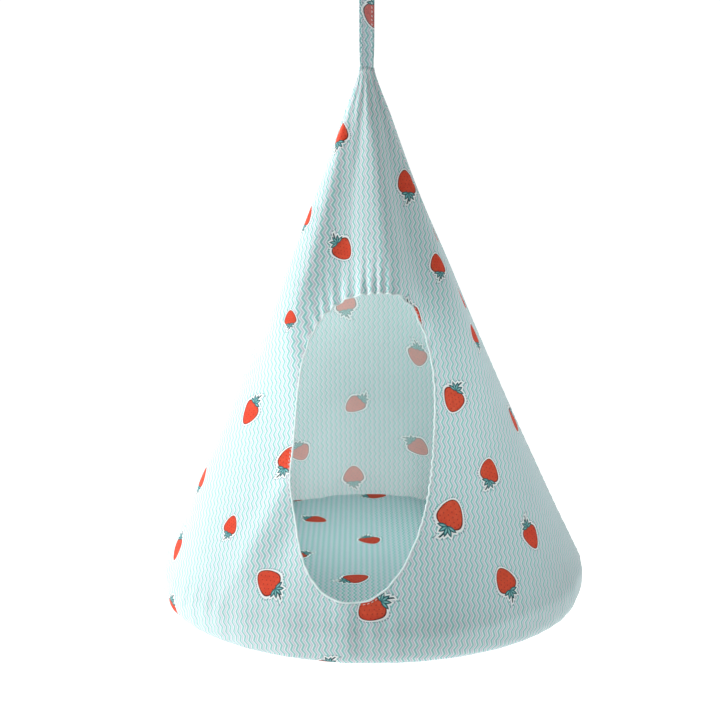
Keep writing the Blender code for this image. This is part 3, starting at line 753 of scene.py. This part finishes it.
def tube_piece(name, points, outward, half_width, half_height, sides, closed):
    """A tube along points; half_width and half_height may change along it."""
    points = np.asarray(points, float)
    if closed:
        points = np.vstack([points, points[:1]])
        outward = np.vstack([outward, outward[:1]])
    ahead, out, across = frame_along(points, outward)
    if closed:
        ahead[0] = ahead[-1] = ahead[0] + ahead[-1]
        out[-1], across[-1] = out[0], across[0]
    half_width = np.resize(half_width, len(points))
    half_height = np.resize(half_height, len(points))
    length = np.concatenate([[0], np.cumsum(np.linalg.norm(np.diff(points, axis=0), axis=1))])
    last = len(points) - 1

    def place(u, v):
        i = np.clip(np.rint(u * last).astype(int), 0, last)
        turn = v * 2 * math.pi
        x, y = np.cos(turn) * half_width[i], np.sin(turn) * half_height[i]
        return (points[i] + across[i] * x[:, None] + out[i] * y[:, None],
                np.stack([length[i], v * 2 * math.pi * half_width[i]], axis=1))

    piece = grid_piece(name, last, sides, place, close_columns=True)
    close_ends_and_recalculate(piece)
    return piece


def close_ends_and_recalculate(piece):
    """Fills open ends and turns all faces outwards."""
    select_only(piece)
    bpy.ops.object.mode_set(mode="EDIT")
    bpy.ops.mesh.select_all(action="DESELECT")
    bpy.ops.mesh.select_mode(type="EDGE")
    bpy.ops.mesh.select_non_manifold(extend=False)
    if any(edge.select for edge in bmesh.from_edit_mesh(piece.data).edges):
        bpy.ops.mesh.edge_face_add()
    bpy.ops.mesh.select_all(action="SELECT")
    bpy.ops.mesh.normals_make_consistent(inside=False)
    bpy.ops.object.mode_set(mode="OBJECT")
    piece.data.shade_smooth()


upright, facing = np.array([[0, 0, 0], [0, 0, 1.0]]), np.array([[0, -1.0, 0], [0, -1.0, 0]])
print("a band that runs up and faces forwards is wide along", frame_along(upright, facing)[2][0])

# %% [markdown]
# The hem follows the doorway with the same puckers as the wall, and each pucker also pinches it.

# %% Doorway hem
turns = np.linspace(0, 2 * math.pi, 640, endpoint=False)
hem_angle, hem_along = door_edge(turns)
hem_out = puckers(turns, 0.0)
hem_line = on_wall(hem_angle, hem_along, hem_out - CLOTH / 2)
hem_outward = hem_line * [1, 1, 0]
hem_outward[:, 2] = 0.08
pinch = 1 + 0.15 * np.sin(turns * 96 + 2 * np.sin(turns * 5))
hem = tube_piece("doorway_hem", hem_line, hem_outward, 0.0009 * pinch, 0.0008, 12, closed=True)
hem.data.materials.append(HEM_COTTON)
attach(hem, "pod")
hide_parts("door_binding")
print("hem:", len(hem.data.polygons), "faces")

# %% [markdown]
# The strap is cotton webbing folded over the swivel's bar, inside a strip of the printed cloth. Both are
# flat bands that follow the same loop, one inside the other.

# %% Strap
eye_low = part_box("swivel_eye")[0]
strap_low, strap_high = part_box("strap_webbing")
BAR_RADIUS = 0.0025
bar_height = eye_low.z + BAR_RADIUS
STRAP_HALF = (strap_high.x - strap_low.x) / 2


def strap_loop(leg, bend):
    """(y, z) up one leg, round the bar, and down the other; leg is the half distance between them."""
    around = np.radians(np.linspace(-35, 90, 16))
    right = np.stack([bend * np.cos(around), bar_height + bend * np.sin(around)], axis=1)
    down = np.linspace(0, 1, 60)[1:]
    join = np.stack([right[0, 0] + (leg - right[0, 0]) * smooth_step(down, 0, 0.16),
                     right[0, 1] + (strap_low.z - right[0, 1]) * down], axis=1)
    half = np.vstack([join[::-1], right])
    other = half[::-1][1:] * [-1, 1]
    return np.vstack([half, other])


def band_piece(name, loop, half_width, ripple):
    """A flat band across X along a loop of (y, z), and its length. ripple waves its two edges."""
    length = np.concatenate([[0], np.cumsum(np.linalg.norm(np.diff(loop, axis=0), axis=1))])
    last = len(loop) - 1

    def place(u, v):
        i = np.clip(np.rint(v * last).astype(int), 0, last)
        pinch = 1 - 0.11 * np.exp(-((loop[i, 1] - wall_high.z) / 0.014) ** 2)
        x = (2 * u - 1) * half_width * pinch
        edge = ripple * np.sin(length[i] * 380) * np.abs(2 * u - 1) ** 3
        y = loop[i, 0] + np.sign(loop[i, 0]) * edge
        return np.stack([x, y, loop[i, 1]], axis=1), np.stack([x, length[i]], axis=1)

    piece = grid_piece(name, 14, last, place)
    print(name, "loop of", round(float(length[-1]), 4), "m")
    return piece, float(length[-1])


core, core_length = band_piece("strap_core", strap_loop(0.0005, 0.0033), STRAP_HALF - 0.0006, 0.0)
core.data.materials.append(WEBBING_COTTON)
thicken(core, 0.0009, 0)
close_ends_and_recalculate(core)
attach(core, "pod")
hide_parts("strap_webbing")

cover, cover_length = band_piece("strap_wrap", strap_loop(0.0016, 0.0044), STRAP_HALF + 0.0003,
                                 0.00018)
print_berries(cover, [(8, 163, 180, 0.95), (-4, 40, 20, 0.9)])
# the strap wrap wears the print darkened with painted shade
cover.data.materials.append(PRINT_STRAP_PAINTED_SHADE)
thicken(cover, 0.0007, 0)
close_ends_and_recalculate(cover)
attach(cover, "pod")
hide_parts("strap_cover")
print("strap half width", round(STRAP_HALF, 4))

# %% [markdown]
# The pod's base is a round panel sewn to the wall's foot. It is a disc of cloth on which the pad's
# weight rests, so it bellies a little. A disc is a grid whose rows are rings.

# %% Base panel
base_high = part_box("base_panel")[1]
BASE_RADIUS = base_high.x


def disc_place(radius, height_of):
    """Points and flat places of a round cloth; height_of takes radius and angle."""
    def place(u, v):
        a = u * 2 * math.pi
        r = radius * (1 - v)
        x, y = r * np.cos(a), r * np.sin(a)
        return hang(np.stack([x, y, height_of(r, a)], axis=1)), np.stack([x, y], axis=1)
    return place


def base_height(r, a):
    belly = -0.0010 * (1 - (r / BASE_RADIUS) ** 2)
    gathers = 0.0003 * np.sin(58 * a + 3 * np.sin(5 * a)) * smooth_step(r, 0.145, 0.168)
    middle = smooth_step(r, 0.02, 0.08) * (1 - smooth_step(r, 0.13, 0.168))
    slack = 0.0004 * middle * (np.sin(3 * a + 1) + np.sin(5 * a + r * 40))
    return base_high.z - 0.0004 + belly + gathers + slack


base = grid_piece("base_cloth", 192, 40, disc_place(BASE_RADIUS, base_height), close_columns=True)
face_outwards(base, lambda points: np.tile([0, 0, -1.0], (len(points), 1)))
print_berries(base, [(0, 20, 20, 1), (60, 70, 160, 1), (-70, 55, 80, 1), (-45, -75, 200, 1),
                     (70, -60, 20, 1), (125, 0, 120, 1), (-125, -10, 10, 1), (0, 130, 60, 1),
                     (5, -140, 170, 1)])
give_cloth_thickness(base, PRINT_FACE, PRINT_BACK)
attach(base, "pod")
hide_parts("base_panel")

# %% [markdown]
# The two seam allowances at the foot are bound with cotton tape, a ring inside the pod under the board.

# %% Bound seam round the foot
ring_low, ring_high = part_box("rim_binding")
ring_turns = np.linspace(0, 2 * math.pi, 300, endpoint=False)
ring_radius = ring_high.x - 0.005
ring_line = np.stack([ring_radius * np.cos(ring_turns), ring_radius * np.sin(ring_turns),
                      np.full(300, (ring_low.z + ring_high.z) / 2)], axis=1)
rim_tape = tube_piece("foot_seam_tape", hang(ring_line), np.tile([0, 0, 1.0], (300, 1)), 0.0048,
                      0.0004, 10, closed=True)
rim_tape.data.materials.append(TAPE_COTTON)
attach(rim_tape, "pod")
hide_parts("rim_binding")
print("foot seam tape at radius", round(ring_radius, 4))

# %% [markdown]
# Inside, a tape covers each side seam from near the tip down to the pad.

# %% Side seam tapes
tape_low, tape_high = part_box("side_tape_left")
for name, side, node in (("left_seam_tape", -1, "side_tape_left"),
                         ("right_seam_tape", 1, "side_tape_right")):
    heights = np.linspace(tape_high.z, tape_low.z, 90) - PAD_MIDDLE
    along = np.interp(-heights, -LINE_HEIGHT, LINE_ALONG)
    line = on_wall(seam_angle(side, along), along, -CLOTH - 0.0009)
    tape = tube_piece(name, line, line * [1, 1, 0] + [0, 0, 0.05], 0.0030, 0.0004, 10, closed=False)
    tape.data.materials.append(TAPE_COTTON)
    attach(tape, "pod")
    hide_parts(node)
print("side tapes from", round(tape_high.z, 3), "to", round(tape_low.z, 3))

# %% [markdown]
# The pad is a thick round of foam in a printed cover, tight at its edge and crowned in the middle. It is
# blown up like a real stuffed cover: a squat round form is remeshed evenly, swollen by cloth pressure
# for twenty frames, and held to a few millimetres. A plain lathe turning would look machined.

# %% Pad, start form
PAD_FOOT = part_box("base_board")[1].z + 0.0004
PAD_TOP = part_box("pad_cover_top")[1].z
PAD_RADIUS = 0.1925
START_INSET, VOXEL, SWELL_CAP = 0.0020, 0.0055, 0.0050
bpy.ops.object.select_all(action="DESELECT")
bpy.ops.mesh.primitive_uv_sphere_add(segments=96, ring_count=48, radius=1)
pad = bpy.context.object
pad.name = pad.data.name = "floor_pad"


ball = vertex_array(pad.data)
level = np.hypot(ball[:, 0], ball[:, 1])
outline = np.where(level > 0, (1 - np.abs(ball[:, 2]) ** 2.5) ** (1 / 12) / np.maximum(level, 1e-9), 0)
outline *= PAD_RADIUS - START_INSET
half_height = (PAD_TOP - PAD_FOOT) / 2 - START_INSET
pad_shape = np.stack([ball[:, 0] * outline, ball[:, 1] * outline,
                      (PAD_TOP + PAD_FOOT) / 2 + ball[:, 2] * half_height], axis=1)
pad.data.vertices.foreach_set("co", pad_shape.ravel())
pad.data.update()
print("pad between", round(PAD_FOOT, 4), "and", round(PAD_TOP, 4))

# %% [markdown]
# Now the swelling. Pressure pushes every face outwards, the cloth's own stiffness holds it together, and
# the cap keeps the pad inside the room that the frame gives it.

# %% Pad, swollen
remesh = pad.modifiers.new("even_mesh", "REMESH")
remesh.mode = "VOXEL"
remesh.voxel_size = VOXEL
bpy.context.view_layer.objects.active = pad
bpy.ops.object.modifier_apply(modifier="even_mesh")
start = vertex_array(pad.data)
cloth = pad.modifiers.new("swell", "CLOTH")
cloth.settings.use_pressure = True
cloth.settings.uniform_pressure_force = 4
cloth.settings.effector_weights.gravity = 0
for step in range(1, 21):
    bpy.context.scene.frame_set(step)
bpy.ops.object.modifier_apply(modifier="swell")
bpy.context.scene.frame_set(1)
moved = vertex_array(pad.data) - start
reach = np.linalg.norm(moved, axis=1)[:, None]
swollen = start + moved * np.minimum(1, SWELL_CAP / np.maximum(reach, 1e-9))
print("pad swelled by up to", round(float(reach.max()) * 1000, 1), "mm before the cap")

# %% [markdown]
# A sat-on pad isn't perfectly even, so its top gets shallow dips, and its edge the small gathers of the
# sewn rim. It is flat where it lies on the board.

# %% Pad, finished
pad_r = np.hypot(swollen[:, 0], swollen[:, 1])
pad_a = np.arctan2(swollen[:, 1], swollen[:, 0])
top_side = smooth_step(swollen[:, 2], (PAD_TOP + PAD_FOOT) / 2, PAD_TOP)
dips = 0.0009 * (np.sin(2 * pad_a + 0.6 + pad_r * 14) + np.sin(3 * pad_a - pad_r * 22))
dips *= smooth_step(pad_r, 0.02, 0.09)
gathers = 0.0006 * np.sin(44 * pad_a + 2 * np.sin(6 * pad_a)) * smooth_step(pad_r, 0.155, 0.18)
crown = 0.0010 - 0.0016 * smooth_step(pad_r, 0.10, 0.185)
crown += 0.0045 * smooth_step(swollen[:, 1], 0.08, 0.17)       # the back edge is pushed up by the wall
swollen[:, 2] += (dips + gathers + crown) * top_side
swollen[:, 2] = np.clip(swollen[:, 2], PAD_FOOT, PAD_TOP + 0.004)
squeeze = np.minimum(1, PAD_RADIUS / np.maximum(pad_r, 1e-6))
swollen[:, 0] *= squeeze
swollen[:, 1] *= squeeze
pad.data.vertices.foreach_set("co", hang(swollen).ravel())
pad.data.update()
finer = pad.modifiers.new("finer", "SUBSURF")
finer.levels = finer.render_levels = 1
bpy.ops.object.modifier_apply(modifier="finer")
while pad.data.uv_layers:
    pad.data.uv_layers.remove(pad.data.uv_layers[0])
make_cloth_map(pad.data, vertex_array(pad.data)[:, :2])
print_berries(pad, [(11, 158, -100, 0.9), (-49, 75, -60, 0.9), (4, 5, -20, 0.9), (-66, -38, 60, 0.9),
                    (-9, -98, -120, 0.95), (75, 110, 20, 1), (-120, 60, 120, 1), (60, -60, 160, 1),
                    (120, 20, -40, 1), (-100, -110, 30, 1), (40, -145, 90, 1), (-75, 150, 200, 1)])
pad.data.materials.append(PRINT_FACE)
pad.data.shade_smooth()
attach(pad, "pod")
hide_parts("pad_cover_top", "pad_cover_bottom", "pad_foam")
print("pad:", len(pad.data.polygons), "faces")

# %% [markdown]
# Stitches show on every seam of the real pod. One stitch is a short fat thread, made from a small sphere
# primitive; a row repeats it along a line, each one pressed a little into the cloth.

# %% One stitch
bpy.ops.object.select_all(action="DESELECT")
bpy.ops.mesh.primitive_uv_sphere_add(segments=6, ring_count=4, radius=0.5)
one_stitch = bpy.context.object
STITCH_POINTS = vertex_array(one_stitch.data)
STITCH_FACES = [list(face.vertices) for face in one_stitch.data.polygons]
bpy.data.objects.remove(one_stitch)
THREAD = 0.0005
THREAD_COTTON = plain_cotton("cotton_thread", "DCE8E8", 0.0005, 0.7)


def stitch_row(name, line, outward, stitch=0.0024, gap=0.0012, closed=False):
    """Stitches laid along a line of points; outward gives the cloth's face at each point."""
    if closed:
        line, outward = np.vstack([line, line[:1]]), np.vstack([outward, outward[:1]])
    length = np.concatenate([[0], np.cumsum(np.linalg.norm(np.diff(line, axis=0), axis=1))])
    count = int(length[-1] / (stitch + gap))
    middles = (np.arange(count) + 0.5) * length[-1] / count

    def at(places, values):
        return np.stack([np.interp(places, length, values[:, i]) for i in range(3)], axis=1)

    ahead = at(np.minimum(middles + stitch / 2, length[-1]), line) - at(middles - stitch / 2, line)
    ahead /= np.linalg.norm(ahead, axis=1)[:, None]
    out = at(middles, outward)
    out -= ahead * (out * ahead).sum(1)[:, None]
    out /= np.linalg.norm(out, axis=1)[:, None]
    across = np.cross(out, ahead)
    slant = ahead + 0.18 * across          # a lockstitch lies slightly askew
    centre = at(middles, line) + out * THREAD * 0.25
    points = (centre[:, None] + slant[:, None] * STITCH_POINTS[None, :, 0:1] * stitch
              + across[:, None] * STITCH_POINTS[None, :, 1:2] * THREAD
              + out[:, None] * STITCH_POINTS[None, :, 2:3] * THREAD)
    faces = [[index + i * len(STITCH_POINTS) for index in face]
             for i in range(count) for face in STITCH_FACES]
    mesh = bpy.data.meshes.new(name)
    mesh.from_pydata(points.reshape(-1, 3).tolist(), [], faces)
    row = bpy.data.objects.new(name, mesh)
    bpy.context.scene.collection.objects.link(row)
    make_cloth_map(mesh, points.reshape(-1, 3)[:, [0, 2]])
    mesh.materials.append(THREAD_COTTON)
    mesh.shade_smooth()
    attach(row, "pod")
    return row


print("one stitch:", len(STITCH_FACES), "faces, thread", THREAD, "m thick")

# %% [markdown]
# The rows: round the doorway, down both sides of the placket under it, along the strap, across the tip
# where the cone is sewn to the strap, and round the base.

# %% Rows of stitches


def from_flat(flat):
    """Angle and distance from the tip of flat points of the front panel, the reverse of flat_cut."""
    slant = np.hypot(flat[:, 0], flat[:, 1])
    angle = np.degrees(np.arctan2(flat[:, 0], -flat[:, 1])) / math.sin(HALF_ANGLE)
    return angle, slant - TIP_RADIUS / math.sin(HALF_ANGLE)


HEM_WIDTH = 0.0022
edge_flat = flat_cut(hem_angle, hem_along)
edge_ahead = np.roll(edge_flat, -1, axis=0) - np.roll(edge_flat, 1, axis=0)
edge_ahead /= np.linalg.norm(edge_ahead, axis=1)[:, None]
edge_out = np.stack([edge_ahead[:, 1], -edge_ahead[:, 0]], axis=1)
row_angle, row_along = from_flat(edge_flat + edge_out * HEM_WIDTH)
row_line = on_wall(row_angle, row_along, puckers(turns, HEM_WIDTH))
rows = [stitch_row("hem_stitches", row_line, row_line * [1, 1, 0] + [0, 0, 0.05], closed=True)]
for name, angle in (("placket_stitches_left", -11.2), ("placket_stitches_right", -4.2)):
    along = np.linspace(float(hem_along.max()) + 0.004, WALL_LENGTH - 0.045, 60)
    line = on_wall(np.full(60, angle), along)
    rows.append(stitch_row(name, line, line * [1, 1, 0] + [0, 0, 0.05]))

strap_line = strap_loop(0.00197, 0.00477)
for name, side in (("strap_stitches_left", -1), ("strap_stitches_right", 1)):
    kept = strap_line[:, 1] > wall_high.z - 0.002
    y, z = strap_line[kept, 0], strap_line[kept, 1]
    line = np.stack([np.full(len(y), side * (STRAP_HALF - 0.0019)), y, z], axis=1)
    outward = np.stack([np.zeros(len(y)), y, np.maximum(z - bar_height, 0)], axis=1)
    stitch_row(name, line, outward)
for name, drop in (("tip_stitches_high", 0.0035), ("tip_stitches_low", 0.0105)):
    around = np.linspace(0, 360, 120, endpoint=False)
    line = on_wall(around, np.full(120, drop))
    rows.append(stitch_row(name, line, line * [0.2, 3, 0] + [0, 0, 0.02], 0.0018, 0.0009, closed=True))
BASE_ROW = 0.1655                  # radius of the row that closes the base
ring = np.stack([BASE_ROW * np.cos(ring_turns), BASE_ROW * np.sin(ring_turns),
                 base_height(np.full(300, BASE_ROW), ring_turns)], axis=1)
base_rows = [stitch_row("base_stitches", hang(ring), np.tile([0, 0, -1.0], (300, 1)), closed=True)]

# %% [markdown]
# The snap hook and its swivel are zinc castings with a nickel plating: a bright, slightly uneven skin,
# polished on the outside. The rivet, washer and spring are drawn steel, a little darker.

# %% Metals and the board


def metal(name, hex_colour, roughness, grain, unevenness):
    """A metal whose shine varies over grain metres, read from Object coordinates."""
    material, tree, shader = new_material(name, roughness, Metallic=1.0)
    place = add_node(tree, "ShaderNodeTexCoord").node.outputs["Object"]
    spots = add_node(tree, "ShaderNodeTexNoise", {"Vector": place, "Scale": 1 / grain, "Detail": 4.0})
    tone = add_node(tree, "ShaderNodeMapRange", {"Value": spots, "To Min": 0.86, "To Max": 1.0})
    colour = add_node(tree, "ShaderNodeVectorMath", {0: linear(hex_colour)[:3], "Scale": tone},
                      operation="SCALE")
    tree.links.new(colour, shader.inputs["Base Color"])
    rough = add_node(tree, "ShaderNodeMapRange", {
        "Value": spots, "To Min": roughness * 0.7, "To Max": roughness * 1.5})
    tree.links.new(rough, shader.inputs["Roughness"])
    bump = add_node(tree, "ShaderNodeBump", {"Strength": unevenness, "Distance": 0.0002, "Height": spots})
    tree.links.new(bump, shader.inputs["Normal"])
    return material


nickel = metal("nickel_plated_zinc", "D2D3D0", 0.22, 0.0016, 0.35)
steel = metal("drawn_steel", "B9BBBD", 0.30, 0.0008, 0.25)
board_plastic, board_tree, board_shader = new_material("polypropylene_sheet", 0.45)
board_place = add_node(board_tree, "ShaderNodeTexCoord").node.outputs["Object"]
grain = add_node(board_tree, "ShaderNodeTexNoise", {"Vector": board_place, "Scale": 700.0, "Detail": 2.0})
board_tone = add_node(board_tree, "ShaderNodeMix", {0: grain, 6: linear("E2E6E6"), 7: linear("F0F2F1")},
                      data_type="RGBA")
board_bump = add_node(board_tree, "ShaderNodeBump", {"Strength": 0.3, "Distance": 0.0002, "Height": grain})
board_tree.links.new(board_tone, board_shader.inputs["Base Color"])
board_tree.links.new(board_bump, board_shader.inputs["Normal"])
for names, finish in ((("snap_hook_body", "gate", "swivel_eye"), nickel),
                      (("gate_rivet", "gate_spring", "swivel_washer"), steel),
                      (("base_board",), board_plastic)):
    for name in names:
        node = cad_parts[name]
        node.data.materials.clear()
        node.data.materials.append(finish)
print("hardware finishes:", nickel.name, steel.name, board_plastic.name)
